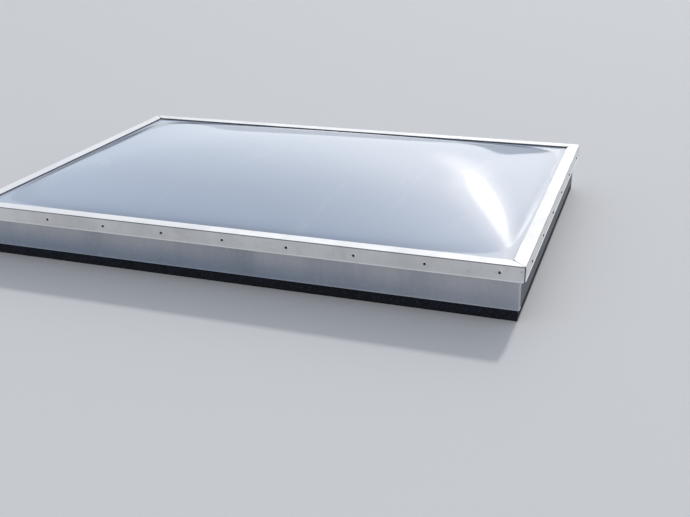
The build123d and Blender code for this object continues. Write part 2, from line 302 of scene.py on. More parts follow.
def rail_dirt_and_painted_light(finish, shade, along_x):
    """Painted shade under the rolled edge, dirt in the mitred joints, and a painted highlight along
    the bead.
    """
    from_top = frame_top - finish.axis("Z")
    from_foot = finish.axis("Z") - skirt_bottom
    from_end = half_length - abs(finish.axis("X"))
    from_side = half_width - abs(finish.axis("Y"))
    from_inner = abs(from_end - retainer_flange) + abs(from_side - retainer_flange)
    seam = 2 * MM if along_x else 4.5 * MM
    joint = abs(from_end - from_side).fade(0.6 * MM, 1.8 * MM)
    outer_corner = (from_end + from_side).fade(seam, seam + 1.5 * MM)
    inner_corner = from_inner.fade(3 * MM, 7 * MM)
    painted_shade_under_edge = from_top.fade(2.0 * MM, 4.5 * MM) * finish.facing("Z").fade(0.6, 0.97)
    painted_bead_highlight = from_foot.fade(2.5 * MM, 4.5 * MM)
    # Painted shade under the rolled outer edge of the flange
    shade = finish.blend(painted_shade_under_edge * 0.75, shade, colour(80, 82, 87))
    # Painted highlight: the bead at the skirt's foot is painted near white
    shade = finish.blend(painted_bead_highlight * 0.7, shade, colour(250, 250, 250))
    shade = finish.blend(joint * 0.55, shade, colour(92, 92, 94))
    return finish.blend(outer_corner.most(inner_corner) * 0.9, shade, colour(40, 42, 46))


def drawn_aluminium(name, body, roughness, along_x, dirt_and_painted_light):
    """Mill-finish aluminium with die lines along its length and a dull, uneven oxide."""
    finish = Finish(name)
    lines = finish.grain(1.0, 2.0, 0.6, finish.drawn_out(along_x, 3.0, 420.0))
    clouds = finish.grain(7.0, 5.0, 0.62)
    drops = finish.cells(34.0).ramp(0.30, 0.36)
    rings = drops * (1 - drops) * finish.grain(5.0).ramp(0.5, 0.62)
    stains = finish.grain(28.0, 4.0, 0.7).ramp(0.56, 0.74)
    dots = finish.specks(230.0, 0.13, 16.0)
    shade = finish.blend(clouds.ramp(0.3, 0.72), body, toned(body, 0.88))
    shade = finish.blend(lines.ramp(0.3, 0.8, 0.0, 0.14), shade, toned(body, 0.7))
    shade = finish.blend(stains * 0.14, shade, colour(150, 146, 140))
    shade = finish.blend(rings * 0.5, shade, colour(176, 174, 170))
    shade = finish.blend(dots * 0.5, shade, colour(96, 94, 92))
    settled = finish.facing("Z").ramp(0.7, 0.98) * clouds.ramp(0.2, 0.6, 0.7, 1.0)
    shade = finish.blend(settled * 0.75, shade, toned(body, 0.92))
    if dirt_and_painted_light:
        shade = rail_dirt_and_painted_light(finish, shade, along_x)
    uneven = clouds.ramp(0.25, 0.75, roughness - 0.05, roughness + 0.07)
    finish.set(Base_Color=shade, Metallic=0.85 - stains * 0.3 - dots * 0.3 - settled * 0.3)
    finish.set(Roughness=uneven + lines * 0.06 + settled * 0.2)
    finish.relief(lines + dots * 0.5, 0.06 * MM, 0.5)
    return finish.material


def weathered_sheet_with_painted_light(name, upper, lower, along_x):
    """Dull grey sheet with rain runs down it, dust above the drip, and painted shade and light."""
    finish = Finish(name)
    rise = (finish.axis("Z") - cladding_low.z) / (cladding_high.z - cladding_low.z)
    runs = finish.grain(1.0, 4.0, 0.6, finish.stretched(55.0, 55.0, 2.0))
    patches = finish.grain(1.0, 3.0, 0.5, finish.stretched(6.0, 6.0, 2.5))
    clouds = finish.grain(5.0, 5.0, 0.6)
    bloom = finish.grain(60.0, 3.0, 0.7).ramp(0.5, 0.75)
    rolled = finish.grain(1.0, 2.0, 0.6, finish.drawn_out(along_x, 2.0, 300.0))
    dots = finish.specks(260.0, 0.14, 14.0)
    dust = rise.fade(0.0, 0.16) * runs.ramp(0.35, 0.7)
    # Painted shade just below the skirt's overhang
    painted_shade_under_skirt = finish.axis("Z").ramp(skirt_bottom - 6 * MM, skirt_bottom - 1.5 * MM)
    # Darker and bluer towards the bottom: painted shade, and dirt rising from the bottom
    shade = finish.blend((rise + clouds * 0.3 - 0.15).ramp(0.05, 0.95), lower, upper)
    shade = finish.blend(patches.ramp(0.4, 0.7, 0.0, 0.5), shade, toned(lower, 0.8))
    shade = finish.blend(runs.ramp(0.45, 0.8, 0.0, 0.13), shade, toned(lower, 0.78))
    # Painted light: lighter towards +X, the side that gets the brighter light
    shade = finish.blend(finish.axis("X").ramp(0.1, 0.9, 0.0, 0.35), shade, toned(upper, 1.12))
    shade = finish.blend(bloom * 0.2, shade, toned(upper, 1.15))
    shade = finish.blend(dust * 0.15, shade, colour(150, 145, 136))
    shade = finish.blend(dots * 0.5, shade, toned(lower, 0.4))
    shade = finish.blend(painted_shade_under_skirt * 0.45, shade, toned(lower, 0.4))
    roughness = clouds.ramp(0.25, 0.75, 0.40, 0.52) + runs.ramp(0.4, 0.8) * 0.08 + dust * 0.2
    finish.set(Base_Color=shade, Metallic=0.55 - dust * 0.4 - bloom * 0.15, Roughness=roughness)
    finish.relief(rolled + bloom * 0.6, 0.05 * MM, 0.5)
    return finish.material


def mineral_felt(name):
    """Bitumen felt with slate granules pressed in, and bare bitumen along its lower edge."""
    finish = Finish(name)
    granules = 620.0
    tone = finish.axis("X", finish.cells(granules, output="Color"))
    patches = finish.grain(9.0, 4.0, 0.6)
    foot = (finish.axis("Z") + finish.grain(26.0) * (12 * MM)).fade(10 * MM, 16 * MM)
    # The felt's own dark tones, darkened and blued further as painted shade
    shade = finish.colours(
        tone,
        (0.0, colour(5, 8, 15)),
        (0.45, colour(8, 13, 24)),
        (0.85, colour(18, 25, 38)),
        (1.0, colour(66, 74, 88)),
    )
    shade = finish.blend(patches.ramp(0.4, 0.75, 0.0, 0.4), shade, colour(8, 10, 15))
    shade = finish.blend(foot * 0.8, shade, colour(11, 12, 14))
    roughness = 0.95 - tone * 0.18 - foot * 0.4
    finish.set(Base_Color=shade, Roughness=roughness, Specular_IOR_Level=0.3)
    finish.relief(finish.cells(granules) * (1 - foot), 0.6 * MM, 0.9)
    return finish.material


def sawn_softwood(name, along_x):
    """Sawn pine: growth rings drawn out along the board, saw marks across it and small knots."""
    finish = Finish(name)
    pith_height = 210 * MM
    rings_per_metre = 210.0
    saw_x, saw_y = (260.0, 30.0) if along_x else (30.0, 260.0)
    aside = finish.axis("Y" if along_x else "X")
    sway = finish.grain(2.0, 3.0, 0.5, finish.drawn_out(along_x, 1.0, 6.0)) * 0.03
    from_pith = ((aside + sway) ** 2.0 + (finish.axis("Z") - pith_height + sway) ** 2.0) ** 0.5
    rings = (from_pith * rings_per_metre).fraction().ramp(0.15, 1.0)
    fibre = finish.grain(1.0, 4.0, 0.7, finish.drawn_out(along_x, 7.0, 500.0))
    saw = finish.grain(1.0, 1.0, 0.5, finish.stretched(saw_x, saw_y, 4.0))
    knots = finish.cells(3.1, finish.stretched(1.0, 1.0, 1.6)).fade(0.035, 0.06)
    greyed = finish.grain(6.0, 4.0).ramp(0.5, 0.8, 0.0, 0.3)
    shade = finish.blend(rings, colour(222, 190, 140), colour(181, 132, 78))
    shade = finish.blend(fibre.ramp(0.35, 0.75, 0.0, 0.4), shade, colour(150, 106, 62))
    shade = finish.blend(knots * 0.85, shade, colour(92, 54, 30))
    shade = finish.blend(greyed, shade, colour(126, 112, 96))
    finish.set(Base_Color=shade, Roughness=0.72 - rings * 0.12 + saw * 0.1)
    finish.relief(fibre * 0.6 + saw * 0.8 + rings * 0.3, 0.4 * MM, 0.8)
    return finish.material


def foam_rubber(name, body, pores, roughness):
    """Cellular rubber: a dull skin with open pores, creased where it is pressed."""
    finish = Finish(name)
    holes = finish.cells(pores).fade(0.12, 0.32)
    creases = finish.grain(140.0, 2.0, 0.5, finish.stretched(1.0, 1.0, 0.2)).ramp(0.6, 0.75)
    shade = finish.blend(finish.grain(30.0, 4.0, 0.6).ramp(0.35, 0.7), body, toned(body, 1.5))
    # Painted shade in the open pores
    shade = finish.blend(holes * 0.7, shade, toned(body, 0.4))
    shade = finish.blend(creases * 0.2, shade, toned(body, 2.4))
    finish.set(Base_Color=shade, Roughness=holes * 0.15 - creases * 0.1 + roughness)
    finish.relief(creases * 0.5 - holes, 0.3 * MM, 0.7)
    return finish.material


def turned_metal(name, body, tint, roughness):
    """Metal of the fixings: tool marks, a thin coat of uneven tint and dull spots."""
    finish = Finish(name)
    coat = finish.grain(90.0, 4.0, 0.65)
    dull = finish.grain(420.0, 3.0, 0.7).ramp(0.58, 0.7)
    shade = finish.blend(coat.ramp(0.35, 0.7), body, tint)
    shade = finish.blend(dull * 0.5, shade, toned(body, 0.45))
    finish.set(Base_Color=shade, Metallic=1 - dull * 0.3)
    finish.set(Roughness=coat.ramp(0.3, 0.7, roughness, roughness + 0.12) + dull * 0.2)
    finish.relief(finish.grain(1400.0, 2.0, 0.6), 0.03 * MM, 0.6)
    return finish.material


FINISHES = {
    # The outer dome's bluish grey is painted shade and sky tint over white opal acrylic
    "outer_acrylic": opal_acrylic(
        "opal_acrylic",
        crown=colour(163, 174, 191),
        rim=colour(166, 177, 194),
        dust=colour(214, 217, 220),
    ),
    "inner_acrylic": opal_acrylic(
        "inner_opal",
        crown=colour(226, 229, 232),
        rim=colour(214, 219, 225),
        dust=colour(230, 231, 232),
    ),
    "felt": mineral_felt("mineral_felt"),
    "tape": foam_rubber("sealing_tape", (0.026, 0.026, 0.028), 700.0, 0.55),
    "spacer": foam_rubber("spacer_rubber", (0.016, 0.016, 0.017), 1200.0, 0.62),
    "gasket": foam_rubber("gasket_rubber", (0.012, 0.012, 0.012), 500.0, 0.8),
    "washer": foam_rubber("washer_rubber", (0.82, 0.82, 0.82), 1600.0, 0.5),
    "stainless": turned_metal("stainless_steel", (0.52, 0.52, 0.53), (0.42, 0.42, 0.43), 0.30),
    "dull_stainless": turned_metal(
        "dull_stainless_steel", (0.10, 0.10, 0.11), (0.06, 0.06, 0.07), 0.34
    ),
    "zinc": turned_metal("zinc_plated_steel", (0.52, 0.53, 0.56), (0.56, 0.52, 0.42), 0.34),
    "rivet": turned_metal("rivet_aluminium", (0.66, 0.66, 0.67), (0.56, 0.56, 0.57), 0.38),
    "sheet_long": weathered_sheet_with_painted_light(
        "weathered_sheet_long_with_painted_light",
        upper=colour(197, 197, 200),
        lower=colour(153, 164, 181),
        along_x=True,
    ),
    # The short sides' sheets are darker: painted shade under the skirt's overhang
    "sheet_short": weathered_sheet_with_painted_light(
        "weathered_sheet_short_in_painted_shade",
        upper=colour(94, 98, 104),
        lower=colour(80, 85, 93),
        along_x=False,
    ),
}
mill_grey = (0.84, 0.84, 0.84)
frame_grey = (0.70, 0.70, 0.71)
for way, along_x in (("long", True), ("short", False)):
    FINISHES[f"retainer_{way}"] = drawn_aluminium(
        f"mill_aluminium_{way}", mill_grey, 0.50, along_x, dirt_and_painted_light=True
    )
    FINISHES[f"frame_{way}"] = drawn_aluminium(
        f"frame_aluminium_{way}", frame_grey, 0.36, along_x, dirt_and_painted_light=False
    )
    FINISHES[f"board_{way}"] = sawn_softwood(f"sawn_softwood_{way}", along_x)


def finish_for(side, kind):
    """Finish of a piece that runs along a side, with any grain along that side."""
    way = "long" if side in LONG_SIDES else "short"
    return FINISHES.get(f"{kind}_{way}") or FINISHES[kind]


# Making of the pieces

sharp_angle = 35.0
round_steps = 4
support = 0.5 * MM


def lay(piece, material):
    """Gives a piece one material all over."""
    piece.data.materials.clear()
    piece.data.materials.append(material)


def add_object(name, data):
    """Puts an object with this mesh, camera or lamp into the scene."""
    added = bpy.data.objects.new(name, data)
    bpy.context.scene.collection.objects.link(added)
    return added


def build_piece(name, mesh_maker, material, node):
    """Makes a piece from a mesh in code, and lets it stand for the node that it replaces."""
    mesh = bpy.data.meshes.new(name)
    made = bmesh.new()
    mesh_maker(made)
    bmesh.ops.recalc_face_normals(made, faces=made.faces)
    made.to_mesh(mesh)
    made.free()
    mesh.set_sharp_from_angle(angle=math.radians(sharp_angle))
    piece = add_object(name, mesh)
    lay(piece, material)
    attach(piece, "root")
    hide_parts(node)


def build_sides(name, mesh_maker, finish_kind, node):
    """Makes a piece for each side."""
    for side in SIDES:
        finish = finish_for(side, finish_kind)
        build_piece(f"{name}_{side}", mesh_maker(side), finish, f"{node}_{side}")


def evenly(count, low=-1.0, high=1.0):
    """Evenly spaced values from low to high, one more than the count of spaces."""
    return [low + (high - low) * i / count for i in range(count + 1)]


def outline(corners, spacing):
    """Closed outline with rounded corners (x, y, radius), and with points along its straights."""
    points = []
    for i, (x, y, radius) in enumerate(corners):
        here = Vector((x, y))
        before = (Vector(corners[i - 1][:2]) - here).normalized()
        after = (Vector(corners[(i + 1) % len(corners)][:2]) - here).normalized()
        half_angle = before.angle(after) / 2
        centre = here + (before + after).normalized() * radius / math.sin(half_angle)
        slope = math.tan(half_angle)
        start = (here + before * radius / slope - centre).normalized()
        end = (here + after * radius / slope - centre).normalized()
        turns = evenly(round_steps, 0.0, 1.0)
        points += [centre + start.slerp(end, turn) * radius for turn in turns]
    filled = []
    for here, after in zip(points, points[1:] + points[:1]):
        filled.append(here)
        length = (after - here).length
        if length > 3 * support:
            count = max(1, round((length - 2 * support) / spacing))
            stops = evenly(count, support / length, 1 - support / length)
            filled += [here.lerp(after, stop) for stop in stops]
    return filled


def skin(made, rows, wrap=False):
    """Faces between rows of points, each row being a closed outline."""
    rings = [[made.verts.new(point) for point in row] for row in rows]
    following = rings[1:] + rings[:1] if wrap else rings[1:]
    for ring, after in zip(rings, following):
        for corners in zip(ring, ring[1:] + ring[:1], after[1:] + after[:1], after):
            made.faces.new(corners).smooth = True
    if not wrap:
        made.faces.new(rings[0])
        made.faces.new(rings[-1])


# Domes: square grids of rings that gather at the foot, where the curve is tightest

outer_sheet = 4.5 * MM
inner_sheet = 3 * MM
outer_rings = 96
inner_rings = 48
foot_station = 0.8
gathering = 1.6
halvings = 40


def fall_off(share):
    """Share of the height that is left at a share of the way from the middle."""
    return 1 - share * share


def foot_distance(x, y):
    """Share of the way from the middle, in a direction, at which the dome meets its flange."""
    near, far = 0.5, 1.0
    for _ in range(halvings):
        middle = (near + far) / 2
        if fall_off(middle * x) * fall_off(middle * y) > foot_level:
            near = middle
        else:
            far = middle
    return near


def ring_stations(rings):
    """Where each ring lies: 0 in the middle, 1 at the dome's foot and 2 at the flange's edge."""
    foot_ring = int(rings * foot_station)
    flange_rings = rings - foot_ring
    crown = [1 - (1 - ring / foot_ring) ** gathering for ring in range(foot_ring + 1)]
    flange = [1 + ((ring + 1) / flange_rings) ** gathering for ring in range(flange_rings)]
    return crown + flange


def dome_height(x, y, level, rise):
    """Height of the blown surface, which leaves the flange in a soft foot and a short steep lip."""
    share_x, share_y = x / pillow_x, y / pillow_y
    inside = abs(share_x) < 1 and abs(share_y) < 1
    product = fall_off(share_x) * fall_off(share_y) if inside else 0.0
    above = rise / (1 - foot_level) * (product - foot_level)
    if above < -foot_softness:
        return level
    if above < foot_softness:
        above = (above + foot_softness) ** 2 / (4 * foot_softness)
    lip = lip_height * (1 - math.exp(-above / lip_spread))
    return level + above * (1 - lip_height / rise) + lip


def dome_grid_place(i, j, stations, flange_edge):
    """Where a point of the square grid lies on the plan of the dome."""
    ring = max(abs(i), abs(j))
    if ring == 0:
        return 0.0, 0.0
    across, deep = i / ring, j / ring
    inner = min(stations[ring], 1.0) * foot_distance(across, deep)
    x, y = inner * across * pillow_x, inner * deep * pillow_y
    past = max(stations[ring] - 1, 0.0)
    return x + (across * flange_edge.x - x) * past, y + (deep * flange_edge.y - y) * past


def dome_mesh(low, high, thickness, rings):
    """Closed sheet of acrylic on a square grid whose rings follow the dome's foot."""
    stations = ring_stations(rings)
    rise = high.z - low.z - thickness

    def make(made):
        sheets = []
        for level in (low.z + thickness, low.z):
            grid = {}
            for i in range(-rings, rings + 1):
                for j in range(-rings, rings + 1):
                    x, y = dome_grid_place(i, j, stations, high)
                    grid[i, j] = made.verts.new((x, y, dome_height(x, y, level, rise)))
            for i in range(-rings, rings):
                for j in range(-rings, rings):
                    corners = (grid[i, j], grid[i + 1, j], grid[i + 1, j + 1], grid[i, j + 1])
                    made.faces.new(corners).smooth = True
            sheets.append(grid)
        top, under = sheets
        steps = range(-rings, rings)
        edge = [(i, -rings) for i in steps] + [(rings, j) for j in steps]
        edge += [(-i, rings) for i in steps] + [(-rings, -j) for j in steps]
        for a, b in zip(edge, edge[1:] + edge[:1]):
            made.faces.new((top[a], top[b], under[b], under[a]))

    return make


for name, node, slot, sheet, rings in (
    ("blown_outer_dome", "outer_dome", "outer_acrylic", outer_sheet, outer_rings),
    ("blown_inner_dome", "inner_dome", "inner_acrylic", inner_sheet, inner_rings),
):
    low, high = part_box(node)
    build_piece(name, dome_mesh(low, high, sheet, rings), FINISHES[slot], node)

# Retainer: mitred rails with a rolled outer edge, softened arrises and a bead at the foot

bead_height = 3.5 * MM
bend = 1.5 * MM
edge_radius = 0.35 * MM
mitre_gap = 0.4 * MM
mitre_opening = 1.1
rail_stations = 96
rail_spacing = 8 * MM
rail_wave = 0.10 * MM
rail_wave_scale = 3.1


def mitre_end(side, inset):
    """How far a rail reaches along its side at an inset: its joints open inwards."""
    half_run = half_length if side in LONG_SIDES else half_width
    turn = math.radians(45 + mitre_opening)
    return half_run - (inset * math.sin(turn) + mitre_gap / 2) / math.cos(turn)


def rail_mesh(side):
    """Rail whose flange dips and whose skirt leans in by a hair, more in some places."""
    section = outline(
        [
            (0, frame_top, bend),
            (retainer_flange, frame_top, edge_radius),
            (retainer_flange, flange_bottom, edge_radius),
            (retainer_wall, flange_bottom, edge_radius),
            (retainer_wall, skirt_bottom, edge_radius),
            (-bead, skirt_bottom, edge_radius),
            (-bead, skirt_bottom + bead_height - bead, edge_radius),
            (0, skirt_bottom + bead_height, edge_radius),
        ],
        rail_spacing,
    )

    def make(made):
        rows = []
        for share in evenly(rail_stations):
            row = []
            for inset, height in section:
                along = share * mitre_end(side, inset)
                sway = 1 + noise.noise(on_side(side, along, 0, 0) * rail_wave_scale)
                over = max((inset - retainer_wall) / (retainer_flange - retainer_wall), 0)
                down = (frame_top - height) / (frame_top - skirt_bottom)
                lean = rail_wave * down * sway if inset <= retainer_wall else 0
                dip = rail_wave * over * sway
                row.append(on_side(side, along, inset + lean, height - dip))
            rows.append(row)
        skin(made, rows)

    return make


build_sides("mitred_rail", rail_mesh, "retainer", "retainer")

# Fixings: each is turned about the axis of the solid that it stands for

FIXING_SEED = 7
weld_distance = 0.01 * MM
turned_steps = 16
thread_depth = 0.55 * MM
thread_steepness = 3
thread_steps = 5


def solids(node):
    """Lowest and highest corner of each separate solid of a node."""
    mesh = bmesh.new()
    mesh.from_mesh(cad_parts[node].data)
    bmesh.ops.remove_doubles(mesh, verts=mesh.verts, dist=weld_distance)
    left = set(mesh.verts)
    found = []
    while left:
        group, front = [], [left.pop()]
        while front:
            vertex = front.pop()
            group.append(vertex.co.copy())
            others = {edge.other_vert(vertex) for edge in vertex.link_edges} & left
            left -= others
            front += others
        low, high = (Vector([pick(values) for values in zip(*group)]) for pick in (min, max))
        found.append((low, high))
    mesh.free()
    return sorted(found, key=lambda box: [round(c, 4) for c in box[0]])


def seats(node, faces_inwards=False, flat=False):
    """For each fixing of a node, a frame with its origin on top of the head and +Z out of it.

    The axis of a flat fixing is its shortest span, and that of the others is their longest.
    """
    places = []
    for low, high in solids(node):
        spans = [high[i] - low[i] for i in (0, 1)]
        axis = spans.index(min(spans) if flat else max(spans))
        middle = (low + high) / 2
        sign = 1 if (middle[axis] > 0) != faces_inwards else -1
        out = Vector((0, 0, 0))
        out[axis] = sign
        middle[axis] = (high if sign > 0 else low)[axis]
        places.append(Matrix.Translation(middle) @ out.to_track_quat("Z", "Y").to_matrix().to_4x4())
    return places


def turn_fixing(made, seat, rings, spin):
    """Solid of rings, each with its radius, its depth below the head's top and its kind.

    The kind is "square", the pitch of a thread, or None for a round ring.
    """
    rows = []
    for radius, depth, kind in rings:
        row = []
        for step in range(turned_steps):
            angle = 2 * math.pi * step / turned_steps
            reach = radius
            if kind == "square":
                reach /= max(abs(math.cos(angle)), abs(math.sin(angle)))
            elif kind:
                turn = (depth / kind - step / turned_steps) % 1.0
                reach -= thread_depth * min(abs(turn - 0.5) * thread_steepness, 1)
            x, y = reach * math.cos(angle + spin), reach * math.sin(angle + spin)
            row.append(seat @ Vector((x, y, -depth)))
        rows.append(row)
    skin(made, rows)


def threaded(radius, start, end, pitch):
    """Rings of a threaded shank with a short point."""
    count = int((end - start) / pitch * thread_steps)
    shank = [(radius, depth, pitch) for depth in evenly(count, start, end - 2 * radius)]
    return shank + [(0.45 * radius, end - 0.6 * radius, None), (0.12 * radius, end, None)]


screw_head_radius = 4.6 * MM
screw_head_height = 2.6 * MM
screw_recess = 3.0 * MM
screw_recess_depth = 1.6 * MM
screw_radius = 2.1 * MM
screw_length = 14 * MM
screw_pitch = 1.8 * MM
frame_screw_length = 30 * MM
frame_screw_pitch = 2.2 * MM
board_screw_length = 75 * MM
board_screw_pitch = 2.6 * MM
board_screw_plain = 0.4 * board_screw_length
board_screw_thread = 0.41 * board_screw_length

recess_rings = [
    (screw_recess * 0.42, screw_recess_depth, "square"),
    (screw_recess * 0.46, screw_recess_depth * 0.55, "square"),
    (screw_recess * 0.50, 0.15 * MM, "square"),
    (screw_recess * 0.56, 0.0, "square"),
]
pan_head = recess_rings + [
    (screw_head_radius * 0.62, 0.05 * MM, None),
    (screw_head_radius * 0.82, 0.16 * screw_head_height, None),
    (screw_head_radius * 0.95, 0.42 * screw_head_height, None),
    (screw_head_radius, 0.72 * screw_head_height, None),
    (screw_head_radius, screw_head_height, None),
]
countersunk_head = recess_rings + [
    (screw_head_radius, 0.05 * MM, None),
    (screw_radius, screw_head_height, None),
    (screw_radius, board_screw_plain, None),
]


def pan_screw(length, pitch):
    """Screw with a domed head, threaded up to the head."""
    end = screw_head_height + length
    return pan_head + threaded(screw_radius, screw_head_height, end, pitch)


retainer_screw = pan_screw(screw_length, screw_pitch)
frame_screw = pan_screw(frame_screw_length, frame_screw_pitch)
board_thread = threaded(screw_radius, board_screw_thread, board_screw_length, board_screw_pitch)
board_screw = countersunk_head + board_thread

nail_head_radius = 3 * MM
nail_head_height = 1 * MM
nail_radius = 1.25 * MM
nail_length = 30 * MM
nail_plain_length = 6 * MM
nail_first_ring = nail_head_height + 6.5 * MM
nail_ring_pitch = 1.1 * MM
nail_ring_count = 18
nail = [
    (nail_head_radius * 0.5, 0.0, None),
    (nail_head_radius * 0.92, 0.04 * MM, None),
    (nail_head_radius, 0.3 * MM, None),
    (nail_head_radius, nail_head_height, None),
    (nail_radius, nail_head_height, None),
    (nail_radius, nail_head_height + nail_plain_length, None),
]
for step in range(nail_ring_count):
    depth = nail_first_ring + step * nail_ring_pitch
    nail.append((nail_radius, depth, None))
    nail.append((nail_radius * 0.86, depth + 0.4 * nail_ring_pitch, None))
nail.append((nail_radius * 0.85, nail_length - 1 * MM, None))
nail.append((nail_radius * 0.2, nail_head_height + nail_length, None))

rivet_head_radius = 3.4 * MM
rivet_head_height = 1 * MM
rivet_radius = 2 * MM
rivet_tail_radius = 2.4 * MM
rivet_tail_height = 0.9 * MM
rivet_grip = retainer_wall + 2 * MM
rivet_back = rivet_head_height + rivet_grip
rivet = [
    (rivet_head_radius * 0.10, rivet_head_height * 0.35, None),
    (rivet_head_radius * 0.26, rivet_head_height * 0.38, None),
    (rivet_head_radius * 0.28, rivet_head_height * 0.75, None),
    (rivet_head_radius * 0.34, rivet_head_height * 0.75, None),
    (rivet_head_radius * 0.37, rivet_head_height * 0.05, None),
    (rivet_head_radius * 0.45, 0.0, None),
    (rivet_head_radius * 0.70, rivet_head_height * 0.18, None),
    (rivet_head_radius * 0.90, rivet_head_height * 0.48, None),
    (rivet_head_radius, rivet_head_height * 0.85, None),
    (rivet_head_radius, rivet_head_height, None),
    (rivet_radius, rivet_head_height, None),
    (rivet_radius, rivet_back, None),
    (rivet_tail_radius, rivet_back, None),
    (rivet_tail_radius, rivet_back + 0.5 * rivet_tail_height, None),
    (rivet_tail_radius * 0.7, rivet_back + rivet_tail_height, None),
]


def fixing_mesh(node, rings, faces_inwards=False):
    """All the fixings of a node, each driven home at its own turn of the drive."""

    def make(made):
        spins = random.Random(FIXING_SEED)
        for seat in seats(node, faces_inwards):
            turn_fixing(made, seat, rings, spins.uniform(0, math.pi / 2))

    return make


washer_radius = 6.5 * MM
washer_top_radius = 5.6 * MM
washer_thickness = 1.5 * MM
washer_hole = 2.3 * MM
washer_bulge = 0.45 * MM
washer_spacing = 2 * MM


def washer_mesh(node):
    """Washers: a cupped ring that bulges where the screw presses it on the skirt."""
    section = outline(
        [
            (washer_hole, 0, 0.2 * MM),
            (washer_top_radius, 0, 0.4 * MM),
            (washer_radius, -washer_thickness + washer_bulge, washer_bulge / 2),
            (washer_radius - 0.2 * MM, -washer_thickness, 0.1 * MM),
            (washer_hole, -washer_thickness, 0.2 * MM),
        ],
        washer_spacing,
    )

    def make(made):
        for seat in seats(node, flat=True):
            rows = []
            for step in range(2 * turned_steps):
                angle = math.pi * step / turned_steps
                across, up = math.cos(angle), math.sin(angle)
                rows.append([seat @ Vector((r * across, r * up, z)) for r, z in section])
            skin(made, rows, wrap=True)

    return make


for side in SIDES:
    screws = f"retainer_screws_{side}"
    build_piece(
        f"pan_screws_{side}",
        fixing_mesh(screws, retainer_screw),
        FINISHES["dull_stainless"],
        screws,
    )
    washers = f"screw_washers_{side}"
    build_piece(
        f"bonded_washers_{side}",
        washer_mesh(washers),
        FINISHES["washer"],
        washers,
    )

for name, rings, inwards, finish_name, slot, node in (
    ("blind_rivets", rivet, False, "rivet", "rivet_aluminium", "corner_rivets"),
    ("leg_screws", frame_screw, True, "stainless", "stainless_steel", "frame_screws"),
    ("board_screws", board_screw, False, "zinc", "zinc_plated_steel", "curb_screws"),
    ("ringed_nails", nail, False, "zinc", "zinc_plated_steel", "cladding_nails"),
):
    build_piece(name, fixing_mesh(node, rings, inwards), FINISHES[finish_name], node)

# Cladding: thin sheets that are not quite flat, folded round the corners, with a drip below

cladding_sheet = 1 * MM
cladding_bend = 2.5 * MM
drip_out = 2.5 * MM
drip_height = 3 * MM
cladding_inset = half_width + cladding_low.y + drip_out
cladding_return = cladding_high.y - cladding_low.y - drip_out
side_cladding_inset = half_length - side_cladding_high.x + drip_out
cladding_half = half_length - cladding_inset
side_cladding_half = (side_cladding_high.y - side_cladding_low.y) / 2
sheet_spacing = 12 * MM
cut_edge = 0.3 * MM
drip_inner_bend = 0.8 * MM
drip_outer_bend = 1.2 * MM
oil_can = 0.7 * MM
belly_scale = 3.3
ripple_scale = 11.0
ripple_share = 0.4
held_length = 50 * MM


def sheet_path(side):
    """Places along a sheet's outer face: along, inset, and the direction into the sheet."""
    if side not in LONG_SIDES:
        count = round(2 * side_cladding_half / sheet_spacing)
        stations = evenly(count, -side_cladding_half, side_cladding_half)
        return [(along, side_cladding_inset, (0, 1)) for along in stations]
    straight = cladding_half - cladding_bend
    depths = evenly(3, cladding_return, cladding_bend)
    path = [(cladding_half, cladding_inset + depth, (-1, 0)) for depth in depths]
    for angle in evenly(2 * round_steps, math.pi / 2, 0.0)[1:-1]:
        along = straight + cladding_bend * math.sin(angle)
        inset = cladding_inset + cladding_bend * (1 - math.cos(angle))
        path.append((along, inset, (-math.sin(angle), math.cos(angle))))
    mirrored = [
        (-along, inset, (-in_along, in_inset))
        for along, inset, (in_along, in_inset) in reversed(path)
    ]
    face = evenly(round(2 * straight / sheet_spacing), straight, -straight)
    return path + [(along, cladding_inset, (0, 1)) for along in face] + mirrored


def cladding_mesh(side):
    """Thin sheet that bellies a little between its top and its drip, but not by its folds."""
    top, foot = cladding_high.z, cladding_low.z
    section = outline(
        [
            (0, top, cut_edge),
            (cladding_sheet, top, cut_edge),
            (cladding_sheet, foot + drip_height, drip_inner_bend),
            (cladding_sheet - drip_out, foot, cut_edge),
            (-drip_out, foot, cut_edge),
            (0, foot + drip_height, drip_outer_bend),
        ],
        sheet_spacing,
    )

    def make(made):
        rows = []
        for along, inset, (in_along, in_inset) in sheet_path(side):
            row = []
            loose = min(1.0, max(cladding_half - abs(along), 0.0) / held_length) * in_inset
            for depth, height in section:
                place = on_side(side, along, inset, height)
                level = min(max((height - foot) / (top - foot), 0.0), 1.0)
                ripple = ripple_share * noise.noise(place * ripple_scale)
                swell = noise.noise(place * belly_scale) + ripple
                depth += oil_can * swell * math.sin(math.pi * level) * loose
                here = along + in_along * depth
                row.append(on_side(side, here, inset + in_inset * depth, height))
            rows.append(row)
        skin(made, rows)

    return make


build_sides("folded_sheet", cladding_mesh, "sheet", "cladding")

# Felt upstands: strips bonded to the boards, with a slightly uneven face

felt_thickness = felt_high.y - felt_low.y
felt_inset = felt_low.y + half_width
felt_half = (felt_high.x - felt_low.x) / 2
side_felt_half = (side_felt_high.y - side_felt_low.y) / 2
felt_outer_round = 0.9 * MM
felt_inner_round = 0.3 * MM
felt_wave = 0.4 * MM
felt_wave_scale = 14.0
felt_grit_scale = 60.0
felt_spacing = 10 * MM


